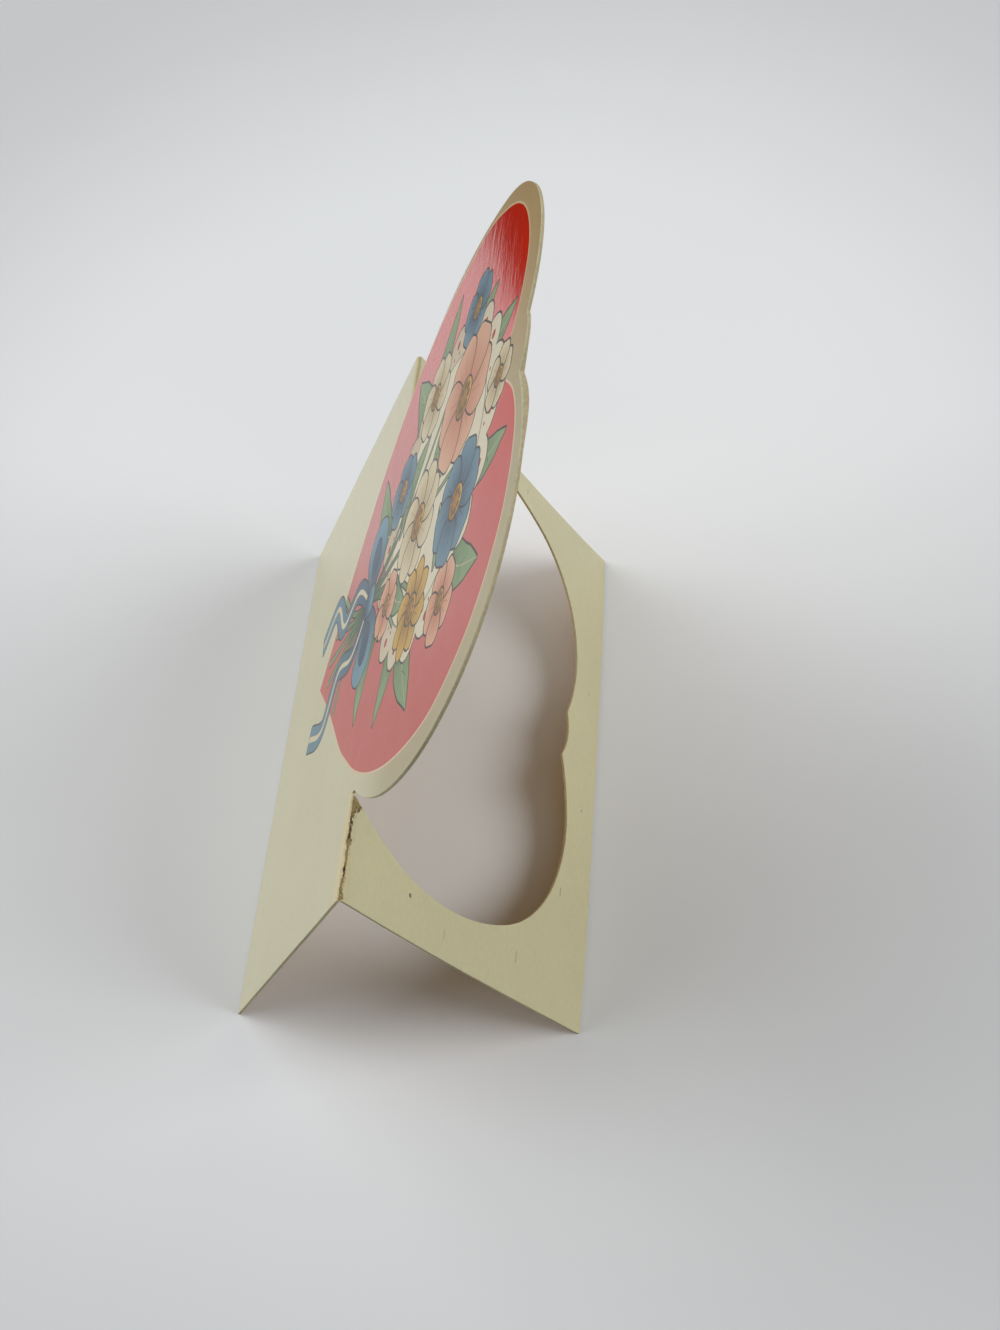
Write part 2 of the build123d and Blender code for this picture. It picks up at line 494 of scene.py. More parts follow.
# leaves under and over the lace: base, tip, width and bend
OUTER_LEAVES = [
    ((-20, 26), (-51, 33), 9.5, 0.16), ((-16, 14), (-49, 7), 9.5, -0.14), ((-10, 4), (-36, -12), 9, 0.14),
    ((4, 12), (33, 7), 9, 0.16), ((8, 24), (40, 30), 9.5, -0.14), ((2, 2), (25, -10), 8, -0.14),
    ((-16, 38), (-33, 57), 9, 0.14), ((10, 42), (29, 62), 9, -0.15), ((-8, 46), (-18, 69), 7.5, 0.12),
    ((2, 48), (10, 70), 7.5, -0.12)]
INNER_LEAVES = [
    ((-8, 8), (-24, 22), 6.5, 0.16), ((0, 8), (12, 18), 6, -0.16), ((-6, 34), (-20, 30), 6, 0.2),
    ((2, 36), (16, 36), 6, 0.2)]
# the ribbon's two tails: their points, and their widths along the way
TAILS = [([TIE, (-14, -24), (-12, -36), (-22, -46), (-18, -58)], (3.6, 5.4, 6, 5.8, 6.6)),
         ([TIE, (3, -22), (1, -34), (11, -43), (8, -56)], (3.6, 5.4, 6, 5.8, 6.4))]
KNOT = [(-2.9, 2.5), (0, 3), (2.9, 2.5), (3.4, 0), (2.7, -2.8), (0, -3.3), (-2.7, -2.8), (-3.4, 0),
        (-2.9, 2.5)]

# Stems, leaves, lace, blossoms and ribbon, from back to front

for x, s in STEM_ENDS:
    stem(((x + TIE[0]) / 2 * 0.6 + TIE[0] * 0.4, -26), (x, s), (1.9, 1.9, 2.3), (1.1, 1.1, 1.5))
for shape in OUTER_LEAVES:
    leaf(*shape)
doily((-6, 30), 31, 20)
for x, s in BLOSSOM_STEM_ENDS:
    stem(((x - TIE[0]) * 0.3 + TIE[0], (s + TIE[1]) * 0.5), (x, s), (2, 1.7, 1.4), (1.2, 1, 0.7))
for shape in INNER_LEAVES:
    leaf(*shape)

flower((-37, 45), 8.2, 5, SLATE, SLATE_DEEP, 0.4)
flower((26, 43), 8.4, 5, PEACH, PEACH_DEEP, 0.9)
flower((-6, 63), 6.6, 5, IVORY, IVORY_DEEP, 0.2)
flower((-33.5, 22), 9.8, 6, IVORY, IVORY_DEEP, 0.1, width=0.92)
flower((17, 24), 9.8, 8, OCHRE, OCHRE_DEEP, 0.3, width=0.95, notch=0, eye=0.3)
flower((-22, 5), 8.8, 5, SLATE, SLATE_DEEP, 0.7)
flower((5, 4), 7.8, 5, PEACH, PEACH_DEEP, 0)
flower((8, 46), 12.4, 6, SLATE, SLATE_DEEP, 0.55, width=0.95)
flower((-17, 43), 15.2, 6, PEACH, PEACH_DEEP, 0.25, width=1)
flower((-4, 21), 12.6, 8, IVORY, IVORY_DEEP, 0.15, width=1.05, notch=0.05, eye=0.28)

for tail, widths in TAILS:
    outlined(strip(tail, widths), (tail[0], tail[-1], SLATE_DEEP * 1.3, SLATE))
    field(strip(tail, [width * 0.22 for width in widths]), IVORY)
for side in (-1, 1):
    ribbon_loop(side)
knot_bottom, knot_top = from_tie([(0, -3), (0, 3)])
outlined(smooth(from_tie(KNOT))[:-1], (knot_bottom, knot_top, SLATE_DEEP, SLATE * 1.15))

# The cracked fold at the near end: a strip of the outer ply is torn off, and its lips are frayed

# places along the crack from the heart's root, with its width there and how dark its painted shade is there
CRACK_AT, CRACK_WIDTH, CRACK_SHADE = np.transpose([
    (0, 0.78, 0.2), (4.4, 0.65, 0.45), (4.8, 0.6, 0.95), (8.6, 0.42, 0.9), (9.2, 0.98, 0.55),
    (10, 0.98, 0.5), (10.6, 0.44, 0.3), (14.2, 0.42, 0.3), (14.8, 0.48, 1), (16, 0.38, 1),
    (16.6, 0.72, 0.15), (18.8, 0.8, 0.2), (19.2, 0.62, 0.9), (19.6, 0.8, 0.3), (20.9, 0.85, 0.35)])
CRACK_MIDDLE = 0.98  # in t
CRACK_POINTS = 120
LEAST_WIDTH = 0.12
# beside the root a larger patch is torn off: places from the root, and its lower edge in t
PATCH_AT, PATCH_END = np.transpose([(0, 3.8), (1, 3.7), (2.4, 3.2), (3.4, 2.5), (4.1, 1.5), (4.6, 1)])

crack_x = np.linspace(NEAR_ROOT + 0.4, END - 0.02, CRACK_POINTS)
crack_at = crack_x - NEAR_ROOT
crack_width = np.interp(crack_at, CRACK_AT, CRACK_WIDTH)
crack_wander = 0.1 * waves(crack_x, 0, 2.4, 11) + 0.07 * waves(crack_x, 0, 0.8, 12)
crack_low = CRACK_MIDDLE + crack_wander - crack_width / 2
crack_high = crack_low + crack_width * (1 + 0.45 * waves(crack_x, 0, 0.7, 13))
patch_high = np.interp(crack_at, PATCH_AT, PATCH_END) + 0.16 * waves(crack_x, 0, 0.9, 14)
crack_high = np.where(crack_at < PATCH_AT[-1], np.maximum(crack_high, patch_high), crack_high)
ragged = np.random.default_rng(17).uniform(-1, 1, (4, CRACK_POINTS))
crack_low += 0.05 * ragged[0]
crack_high = np.maximum(crack_high + 0.07 * ragged[1], crack_low + LEAST_WIDTH)
low_lip = 0.2 + 0.22 * waves(crack_x, 0, 0.9, 15) + 0.1 * ragged[2]
high_lip = 0.12 + 0.3 * waves(crack_x, 0, 1.1, 16) + 0.1 * ragged[3]
fray_low = crack_low - np.clip(low_lip, 0.04, 0.5)
fray_high = crack_high + np.clip(high_lip, 0.03, 0.5)
TEAR = np.r_[np.c_[crack_x, crack_low], np.c_[crack_x, crack_high][::-1]]
FRAY = np.r_[np.c_[crack_x, fray_low], np.c_[crack_x, fray_high][::-1]]

# The rear panel's fields: a dark speck and short scratches along x, then the crack

MARKS = [  # x, t, length, width and shade
    (55.1, 21.8, 0.9, 0.8, 0.22), (54.7, 61, 3, 0.42, 0.62), (34.6, 76.7, 2.2, 0.5, 0.55),
    (58.5, 34.5, 2.4, 0.35, 0.72), (49, 44, 1.2, 0.3, 0.8), (-20, 84, 1.6, 0.3, 0.75),
    (12, 83.5, 0.7, 0.5, 0.6), (-60, 50, 1.8, 0.35, 0.7)]
MARK_POINTS = 14
rear_fields = []
for k, (x, t, length, width, shade) in enumerate(MARKS):
    angle = np.linspace(0, 2 * pi, MARK_POINTS, endpoint=False)
    wobble = 1 + 0.22 * np.sin(2 * angle + k) + 0.12 * np.sin(3 * angle + 2 * k)
    mark = np.c_[x + length / 2 * np.cos(angle), t + width / 2 * wobble * np.sin(angle)]
    rear_fields.append((mark, CREAM * shade, GROUND_GLOSS))
LIP_FIELD = len(rear_fields)
rear_fields.append((FRAY, LIP, 0))
TORN_FIELD = len(rear_fields)
rear_fields.append((TEAR, TORN, 0))

# The flat sheet's outlines

ROOT_POINTS = 40  # of the cut, from a root up past the fold
CLOSING_DEPTH = 8  # below the ridge, where the cut is closed before it is grown
CUT_START = 0.15  # below the fold, where the opening's own edge starts
FRONT_EDGE_STEP, REAR_EDGE_STEP = 1.5, 0.8
FOLD_POINTS, NEAR_POINTS, FAR_POINTS = 9, 80, 24  # across the fold and along its stubs
FINE_POINTS = 4000  # down the rear panel, from s to t

# the die-cut line, from the near root over both lobes to the far root
near = arc(NEAR_CENTRE, LOBE, FLANK, NEAR_CLEFT)
far = arc(FAR_CENTRE, LOBE, FAR_CLEFT, pi - FLANK)
near_flank = tangent_arc(near[0], (sin(FLANK), -cos(FLANK)), (NEAR_ROOT, 0))[::-1]
to_cleft = tangent_arc(near[-1], (-sin(NEAR_CLEFT), cos(NEAR_CLEFT)), CLEFT)
swell = three_point_arc(CLEFT, SWELL, far[0])
far_flank = tangent_arc(far[-1], (-sin(FLANK), -cos(FLANK)), (FAR_ROOT, 0))
heart = np.r_[near_flank[:-1], near[:-1], to_cleft[:-1], swell[:-1], far[:-1], far_flank]

# the opening's edge, which stands a clearance off that line
closed_cut = np.r_[heart, [(FAR_ROOT, -CLOSING_DEPTH), (NEAR_ROOT, -CLOSING_DEPTH)]]
cut = grown(closed_cut, CLEARANCE)[:len(heart)]
near_cut, far_cut = cut[:ROOT_POINTS], cut[-ROOT_POINTS:][::-1]
fold_t = np.linspace(0, ARC_LENGTH, FOLD_POINTS)
fold_near = np.interp(rear_s(fold_t), near_cut[:, 1], near_cut[:, 0])
fold_far = np.interp(rear_s(fold_t), far_cut[:, 1], far_cut[:, 0])
near_stub = np.linspace(fold_near[0], END, NEAR_POINTS)
far_stub = np.linspace(-END, fold_far[0], FAR_POINTS)

fine_t = np.linspace(ARC_LENGTH, REAR_LENGTH, FINE_POINTS)
fine_s = rear_s(fine_t)
below_fold = cut[cut[:, 1] > fine_s[0] + CUT_START]
opening = np.c_[below_fold[:, 0], np.interp(below_fold[:, 1], fine_s, fine_t)]

front_edge = np.array([
    *densify([(-END, -PANEL_HEIGHT), (END, -PANEL_HEIGHT), (END, -REACH)], FRONT_EDGE_STEP),
    *[(x, -REACH) for x in near_stub[::-1]], (NEAR_ROOT, -REACH),
    *heart,
    (FAR_ROOT, -REACH), *[(x, -REACH) for x in far_stub[::-1]],
    *densify([(-END, -REACH), (-END, -PANEL_HEIGHT)], FRONT_EDGE_STEP)[1:]])
rear_corners = [(END, 0), (END, 4), (END, REAR_LENGTH), (-END, REAR_LENGTH), (-END, 0)]
rear_edge = np.array([
    *[(x, 0) for x in far_stub], *zip(fold_far[1:], fold_t[1:]),
    *opening[::-1],
    *zip(fold_near[:0:-1], fold_t[:0:-1]), *[(x, 0) for x in near_stub],
    *densify(rear_corners, REAR_EDGE_STEP)[1:]])


# Triangles of the flat sheet

ROW_HEIGHT = 0.866  # of a grid of even triangles, for a step of 1


def hex_grid(x_range, y_range, step):
    """Points of a grid of even triangles."""
    x, y = np.meshgrid(np.arange(*x_range, step), np.arange(*y_range, step * ROW_HEIGHT))
    x[1::2] += step / 2
    return np.c_[x.ravel(), y.ravel()]


def clear_of(points, outlines, gap):
    """Those points that lie at least a gap away from the outlines' own points."""
    corners = np.concatenate(outlines)
    tree = KDTree(len(corners))
    for i, corner in enumerate(corners):
        tree.insert((*corner, 0), i)
    tree.balance()
    return np.array([point for point in points if tree.find((*point, 0))[2] >= gap])


def triangulate(outlines, loose):
    """Points and triangles inside the first outline that follow them all."""
    points = [Vector(p) for p in np.concatenate([*outlines, loose])]
    lines, first = [], 0
    for outline in outlines:
        count = len(outline)
        lines += [(first + k, first + (k + 1) % count) for k in range(count)]
        first += count
    corners, _, triangles, *_ = delaunay_2d_cdt(points, lines, [], 0, 1e-5, False)
    flat = np.array([(p.x, p.y) for p in corners])
    triangles = np.array(list(triangles))
    return flat, triangles[inside(flat[triangles].mean(1), outlines[0])]


def painted(flat, triangles, base, fields):
    """The colour and gloss of each triangle's corners, and its last field, or -1 for none."""
    middle = flat[triangles].mean(1)
    top = np.full(len(triangles), -1)
    for k, (outline, _, _) in enumerate(fields):
        top[inside(middle, outline)] = k
    colour = np.ones((len(triangles), 3, 4))
    for k, (_, paint, gloss) in enumerate([(None, base, GROUND_GLOSS)] + fields, -1):
        covered = top == k
        points = flat[triangles[covered]].reshape(-1, 2)
        colour[covered, :, :3] = colour_at(points, paint).reshape(-1, 3, 3)
        colour[covered, :, 3] = gloss
    return colour, top


# even points over each side, and finer ones beside the crack and on the far stub's fold
front_loose = np.r_[
    hex_grid((-END + 1, END - 1), (-PANEL_HEIGHT + 1, TOP), 1.6),
    hex_grid((NEAR_ROOT + 0.5, END - 0.4), (-REACH - 5.2, -REACH - 0.3), 0.6)]
front_outlines = [front_edge] + [outline for outline, _, _ in front_fields]
front_loose = clear_of(front_loose, front_outlines, 0.3)
rear_loose = np.r_[
    hex_grid((-END + 1.2, END - 1), (1, REAR_LENGTH - 0.8), 2.2),
    hex_grid((NEAR_ROOT + 0.4, END - 0.2), (0.25, 4.6), 0.3),
    hex_grid((-END + 0.2, FAR_ROOT - 0.2), (0.2, 2.4), 0.25)]
rear_outlines = [rear_edge] + [outline for outline, _, _ in rear_fields]
rear_loose = clear_of(rear_loose, rear_outlines, 0.2)
rear_loose = np.r_[rear_loose, np.c_[crack_x, (crack_low + crack_high) / 2][::2]]

front_flat, front_faces = triangulate(front_outlines, front_loose)
rear_flat, rear_faces = triangulate(rear_outlines, rear_loose)
# the heart's margin is toned olive; the rear panel's cream carries painted light, and darkens a little to
# its near end
front_colour, front_top = painted(front_flat, front_faces, ((0, 0), (0, 30), CREAM, OLIVE), front_fields)
rear_base = ((0, 0), (END, 0), LIT_REAR_CREAM, LIT_REAR_CREAM * 0.94)
rear_colour, rear_top = painted(rear_flat, rear_faces, rear_base, rear_fields)

# Wear, with painted shade and painted highlights

front_x, front_s = front_flat.T
rear_x, rear_t = rear_flat.T
front_places, front_normals = place(front_x, front_s, front_section, front_lift)
rear_places, rear_normals = place(rear_x, rear_t, rear_section, rear_lift)
torn_faces = rear_top == TORN_FIELD
whole_faces = rear_top < LIP_FIELD
bare_faces = front_top == -1

# the tear sinks into the board, and its frayed lips stand up
in_tear = inside(rear_flat, grown(TEAR, -0.03))
in_fray = inside(rear_flat, grown(FRAY, -0.02)) & ~inside(rear_flat, grown(TEAR, 0.03))
depth = np.where(in_tear, 0.22 + 0.08 * waves(rear_x, rear_t, 0.7, 21), 0)
depth -= np.where(in_fray, 0.1 + 0.06 * waves(rear_x, rear_t, 0.6, 22), 0)
rear_places -= depth[:, None] * rear_normals

# the torn board gets painted shade in places along the crack, and along the lower edge of the patch
PATCH_SHADOW = 0.3  # width of that shade
shade = np.interp(rear_x - NEAR_ROOT, CRACK_AT, CRACK_SHADE) + 0.4 * waves(rear_x, rear_t, 0.8, 23)
shade += 0.3 * waves(rear_x, rear_t * 2, 0.4, 26)
to_edge = np.interp(rear_x, crack_x, crack_high) - rear_t
patch_shade = shade + 0.7 * np.clip(1 - to_edge / PATCH_SHADOW, 0, 1)
shade = np.clip(np.where(rear_x - NEAR_ROOT < PATCH_AT[-2], patch_shade, shade), 0, 1)
rear_colour[torn_faces, :, :3] = mixed(TORN, TORN_SHADOW, shade[rear_faces[torn_faces]][..., None])


def rub(colour, faces, chosen, share, tone):
    """Blends the chosen faces' colours towards a tone, by a share for each point."""
    colour[chosen, :, :3] = mixed(colour[chosen, :, :3], tone, share[faces[chosen]][..., None])


# the far lobe's margin is tan, and below the near stub's fold the front gets a painted highlight where the
# rounded fold catches light
far_margin = soft_step(front_x, 14, -16) * soft_step(front_s, 24, 44)
on_stub = soft_step(front_x, NEAR_ROOT - 0.3, NEAR_ROOT + 1.2) * (front_s < -REACH + 0.01)
front_fold_highlight = on_stub * soft_step(front_s, -REACH - 5, -REACH - 0.3)
for share, tone in ((far_margin, TAN), (front_fold_highlight, FOLD_HIGHLIGHT)):
    rub(front_colour, front_faces, bare_faces, share, tone)

# behind the ridge the rounded fold gets a painted highlight, then the board is smeared tan, and the far
# stub's crease gets a dark line of painted shade
ridge_highlight = soft_step(rear_t, 1, 0.5) * (rear_x > NEAR_ROOT - 1)
smear = soft_step(rear_x, NEAR_ROOT + 3.5, NEAR_ROOT + 6) * soft_step(rear_t, 3.4, 1.4)
smear *= soft_step(rear_t, 0.6, 1)
smear *= np.clip(0.45 + 0.6 * waves(rear_x, rear_t * 2.5, 4.5, 24), 0, 1)
crease_t = 0.95 + 0.1 * waves(rear_x, 0, 5, 25)
crease = 0.85 * np.exp(-((rear_t - crease_t) / 0.34) ** 2) * (rear_x < FAR_ROOT + 1)
for share, tone in ((ridge_highlight, FOLD_HIGHLIGHT), (smear, SMEAR), (crease, CREASE_SHADE)):
    rub(rear_colour, rear_faces, whole_faces, share, tone)

# The outer face in one piece, welded where the fold starts

SATIN, BACK, EDGE, CORE, GLOSS = range(5)  # the sheet's materials, in the order of its slots
WELD_DIGITS, WELD_GAP = 4, 1e-4
# the line in s and x where the glossiest red ends, which the posy and its ribbon hide
GLOSS_LINE = [(-58, -18), (-46, -22), (-36, -12), (-24, -14), (-12, -5.2)]

fold_start = {round(x, WELD_DIGITS): i for i, (x, s) in enumerate(front_flat) if abs(s + REACH) < WELD_GAP}
front_count = len(front_flat)
welded = np.arange(len(rear_flat)) + front_count
for i, (x, t) in enumerate(rear_flat):
    if abs(t) < WELD_GAP:
        welded[i] = fold_start.get(round(x, WELD_DIGITS), welded[i])

outer = np.r_[front_faces, welded[rear_faces]]
outer_colour = np.r_[front_colour, rear_colour]
middle_x, middle_s = front_flat[front_faces].mean(1).T
glossy = (middle_x < np.interp(middle_s, *np.transpose(GLOSS_LINE))) & (front_top == RED_FIELD)
outer_slots = np.r_[np.where(glossy, GLOSS, SATIN), np.where(whole_faces, SATIN, CORE)]

used, outer = np.unique(outer, return_inverse=True)
outer = outer.reshape(-1, 3)
flat = np.r_[front_flat, rear_flat][used]
places = np.r_[front_places, rear_places][used]
normals = np.r_[front_normals, rear_normals][used]
on_front = used < front_count
count = len(places)

# at the near lobe's crown the board has split, and its back ply stands off
SPLIT_OPEN = 0.72
SPLIT_DEPTH = 7  # from the edge inwards
from_rim = LOBE - norm(flat - NEAR_CENTRE, axis=1)
along_rim = soft_step(flat[:, 0], -3.5, 6) * soft_step(flat[:, 0], 21, 7)
split = SPLIT_OPEN * along_rim * np.clip(1 - from_rim / SPLIT_DEPTH, 0, 1) ** 1.6
split *= on_front * (flat[:, 1] > RISE + 20)
thickness = BOARD + split
inner_places = places - thickness[:, None] * normals

# The cut edge, in three plies with a fuzzy middle

PLY_LEVELS = (0.3, 0.66)  # shares of the thickness where the plies meet
FUZZ = (-0.05, 0.045)  # how far the plies' borders stand in or out
# painted light: the opening's edge and the heart's lower edge are made paler, as the lamps light them too
# little
PAINTED_EDGE_LIGHT = 1.28  # the opening's edge and the heart's lower edge

# the rim's edges belong to one triangle alone
edges = dict.fromkeys(edge for a, b, c in outer.tolist() for edge in ((a, b), (b, c), (c, a)))
rim_edges = [edge for edge in edges if edge[::-1] not in edges]
rim = sorted({point for edge in rim_edges for point in edge})
rim_order = {point: k for k, point in enumerate(rim)}

# the direction out of the sheet at each point of its rim
rim_out = np.zeros((len(rim), 3))
for a, b in rim_edges:
    sideways = np.cross(places[b] - places[a], normals[a])
    sideways /= norm(sideways) + 1e-12
    rim_out[[rim_order[a], rim_order[b]]] += sideways
rim_out /= norm(rim_out, axis=1)[:, None] + 1e-12

fuzz_draw = np.random.default_rng(7)
vertices = [places, inner_places]
for level in PLY_LEVELS:
    fuzz = fuzz_draw.uniform(*FUZZ, len(rim))
    sunk = (thickness[rim] * level)[:, None] * normals[rim]
    vertices.append(places[rim] - sunk + rim_out * fuzz[:, None])


def across_edge(point):
    """The vertices across the cut edge at a point of the rim, print first."""
    borders = [2 * count + k * len(rim) + rim_order[point] for k in range(len(PLY_LEVELS))]
    return [point, *borders, point + count]


def edge_painted_light(point):
    """How much paler painted light makes the cut edge at a point of the rim."""
    x, y = flat[point]
    if on_front[point]:
        return 1 + (PAINTED_EDGE_LIGHT - 1) * soft_step(y, 42, 14) * (y > -REACH - 0.01)
    return PAINTED_EDGE_LIGHT if abs(x) < END - 0.1 and y < REAR_LENGTH - 0.1 else 1


# Flecks of the torn ply: slim slivers that lie along the lips of the crack, a little raised

FLECKS = 56
FLECK_RINGS = ((-0.15, 0.5), (0.3, 1), (0.7, 0.8), (1, 0.15))  # shares of the length and of the width
FLECK_RING = ((-1, 0), (1, 0), (1, 1), (-1, 1))  # a ring's corners: side and level
FLECK_THICKNESS = 0.035
FLECK_LIFT = 0.05  # off the sheet
FLECK_ROOM = 0.4  # of whole sheet below a fleck
FLECK_SIDES = [(4 * ring + side, 4 * ring + (side + 1) % 4) for ring in range(3) for side in range(4)]
FLECK_QUADS = [(a, b, b + 4, a + 4) for a, b in FLECK_SIDES] + [(3, 2, 1, 0), (12, 13, 14, 15)]
GOLDEN = 0.618  # spreads the flecks' tones evenly


def flecks():
    """Their corners, and their faces as four corners each."""
    draw = np.random.default_rng(41)
    corners, quads = [], []
    while len(quads) < len(FLECK_QUADS) * FLECKS:
        x = draw.uniform(NEAR_ROOT + 0.6, END - 0.5)
        on_low_lip = draw.uniform() < 0.6
        t = np.interp(x, crack_x, crack_low if on_low_lip else crack_high) + draw.normal(0, 0.06)
        turn = draw.normal(0, 0.5) + (pi if draw.uniform() < 0.5 else 0)
        length = draw.uniform(0.25, 0.7)
        width = draw.uniform(0.07, 0.18)
        rise = draw.uniform(0.01, 0.06)
        curl = draw.uniform(-0.3, 0.3)
        if not inside(np.array([(x, t + FLECK_ROOM)]), rear_edge)[0]:
            continue
        root, normal = (row[0] for row in place(np.array([x]), np.array([t]), rear_section, rear_lift))
        heading = cos(turn) * np.array([1, 0, 0]) + sin(turn) * np.cross(normal, (1, 0, 0))
        aside = np.cross(normal, heading)
        first = len(corners)
        for u, share in FLECK_RINGS:
            spine = root + heading * length * u + aside * curl * length * u * u
            spine += normal * (FLECK_LIFT + rise * u)
            for side, level in FLECK_RING:
                corners.append(spine + aside * side * share * width / 2 + normal * level * FLECK_THICKNESS)
        quads += [[first + corner for corner in quad] for quad in FLECK_QUADS]
    return np.array(corners), quads


# The sheet as one mesh

TONED_REACH = 5  # how far in from its edges the bare back has toned
SHARP_ANGLE = radians(38)
faces, slots, colours = [], [], []


def add_object(name, data):
    """A new object in the scene."""
    thing = bpy.data.objects.new(name, data)
    bpy.context.scene.collection.objects.link(thing)
    return thing


def add_face(corners, slot, corner_colours):
    """Adds a face with its slot and its corners' colours."""
    faces.append(tuple(int(corner) for corner in corners))
    slots.append(slot)
    colours.append(corner_colours)


def one_colour(tone):
    """The same colour at four corners, without varnish."""
    return np.broadcast_to((*tone, 0), (4, 4))


# the bare back is darker near its edges
from_edge = np.full(count, np.inf)
for point in places[rim]:
    from_edge = np.minimum(from_edge, norm(places - point, axis=1))
toned = np.exp(-from_edge / TONED_REACH) * (0.7 + 0.5 * waves(*flat.T, 17, 31))
toned = np.clip(toned + 0.16 * waves(*flat.T, 34, 32), 0, 1)[:, None]
back_colour = np.c_[mixed(RAW, RAW_TONED, toned), np.zeros(count)]

for triangle, slot, corner_colours in zip(outer, outer_slots, outer_colour):
    add_face(triangle, slot, corner_colours)
for triangle in outer[:, ::-1]:
    add_face(triangle + count, BACK, back_colour[triangle])
for a, b in rim_edges:
    a_row, b_row = across_edge(a), across_edge(b)
    # painted light on the cut edge
    painted_light = edge_painted_light(a)
    for k, ply in enumerate(EDGE_PLIES):
        add_face((b_row[k], a_row[k], a_row[k + 1], b_row[k + 1]), EDGE, one_colour(ply * painted_light))
fleck_places, fleck_faces = flecks()
first_fleck = sum(map(len, vertices))
vertices.append(fleck_places)
for k, quad in enumerate(fleck_faces):
    tone = LIP * (1 + 0.35 * (k // len(FLECK_QUADS) * GOLDEN % 1))
    add_face([first_fleck + corner for corner in quad], CORE, one_colour(tone))

mesh = bpy.data.meshes.new("card_sheet")
mesh.from_pydata((np.concatenate(vertices) * MM).tolist(), [], faces)
mesh.polygons.foreach_set("material_index", np.array(slots, np.int32))
attribute = mesh.color_attributes.new("print", "FLOAT_COLOR", "CORNER")
attribute.data.foreach_set("color", np.concatenate(colours).astype(np.float32).ravel())
mesh.update()
mesh.shade_smooth()
mesh.set_sharp_from_angle(angle=SHARP_ANGLE)

# the two faces of the sheet are shaded by its own normals
corner_point = np.concatenate(faces)
corner_slot = np.repeat(slots, [len(face) for face in faces])
corner_normals = np.zeros((len(corner_point), 3))
on_print = np.isin(corner_slot, (SATIN, GLOSS))
corner_normals[on_print] = normals[corner_point[on_print]]
on_back = corner_slot == BACK
corner_normals[on_back] = -normals[corner_point[on_back] - count]
mesh.normals_split_custom_set(corner_normals.tolist())
card = add_object("card_sheet", mesh)


# Materials

def set_inputs(tree, node, inputs):
    """Sets a node's inputs to values, or links them to outputs."""
    for name, value in inputs.items():
        if isinstance(value, bpy.types.NodeSocket):
            tree.links.new(value, node.inputs[name])
        else:
            node.inputs[name].default_value = value


def outputs(tree, kind, inputs, **settings):
    """The outputs of a new shader node."""
    node = tree.nodes.new("ShaderNode" + kind)
    for name, value in settings.items():
        setattr(node, name, value)
    set_inputs(tree, node, inputs)
    return node.outputs


def new_material(name):
    """A material, its node tree and the place on the object, in metres."""
    material = bpy.data.materials.new(name)
    material.use_nodes = True
    tree = material.node_tree
    return material, tree, outputs(tree, "TexCoord", {})["Object"]


def set_shader(tree, inputs):
    """Sets or links the inputs of a material's shader."""
    set_inputs(tree, tree.nodes["Principled BSDF"], inputs)


def noise(tree, vector, scale, detail, roughness=0.55):
    """A cloudy value around 0.5."""
    inputs = {"Vector": vector, "Scale": scale, "Detail": detail, "Roughness": roughness}
    return outputs(tree, "TexNoise", inputs)["Fac"]


def ramp(tree, value, *stops):
    """A tone for a value, from two stops: a position, and a grey or a colour."""
    node = tree.nodes.new("ShaderNodeValToRGB")
    for element, (position, tone) in zip(node.color_ramp.elements, stops):
        element.position = position
        element.color = (tone, tone, tone, 1) if np.isscalar(tone) else (*tone, 1)
    set_inputs(tree, node, {"Fac": value})
    return node.outputs["Color"]


def multiply(tree, a, b, share=1):
    """A colour times a share of another."""
    inputs = {"Factor": share, "A": a, "B": b}
    return outputs(tree, "Mix", inputs, data_type="RGBA", blend_type="MULTIPLY")["Result"]


def scaled(tree, vector, scale):
    """A vector scaled along each axis."""
    return outputs(tree, "Mapping", {"Vector": vector, "Scale": scale})["Vector"]


def between(tree, value, start, end, kind="LINEAR"):
    """0 up to a start and 1 past an end."""
    inputs = {"Value": value, "From Min": start, "From Max": end}
    return outputs(tree, "MapRange", inputs, interpolation_type=kind)["Result"]


def bump(tree, height, strength, distance):
    """A normal tilted by a height."""
    inputs = {"Height": height, "Strength": strength, "Distance": distance}
    return outputs(tree, "Bump", inputs)["Normal"]


# scales of the paper's noises, for each metre
CLOUDS, FIBRES, SPECKS, PATCHES, BRUSH = 38, 900, 1500, 160, 420
FIBRE_STRETCH = (1, 2.4, 1.4)
FIBRE_DEPTH = 0.00006
SPECK_TONE = (0.62, 0.52, 0.4)
BRUSH_STRETCH = (0.25, 1, 1)
BRUSH_DEPTH = 0.00005
BRUSH_START, BRUSH_FULL = -0.014, -0.026  # in x, towards the far lobe
VARNISH_IOR = 1.5


def brushed(tree, spot):
    """The normal of the far lobe's varnish, brushed along x."""
    x = outputs(tree, "SeparateXYZ", {"Vector": spot})["X"]
    grooves = noise(tree, scaled(tree, spot, BRUSH_STRETCH), BRUSH, 3, 0.65)
    share = between(tree, x, BRUSH_START, BRUSH_FULL)
    height = outputs(tree, "Math", {0: grooves, 1: share}, operation="MULTIPLY")["Value"]
    return bump(tree, height, 1, BRUSH_DEPTH)


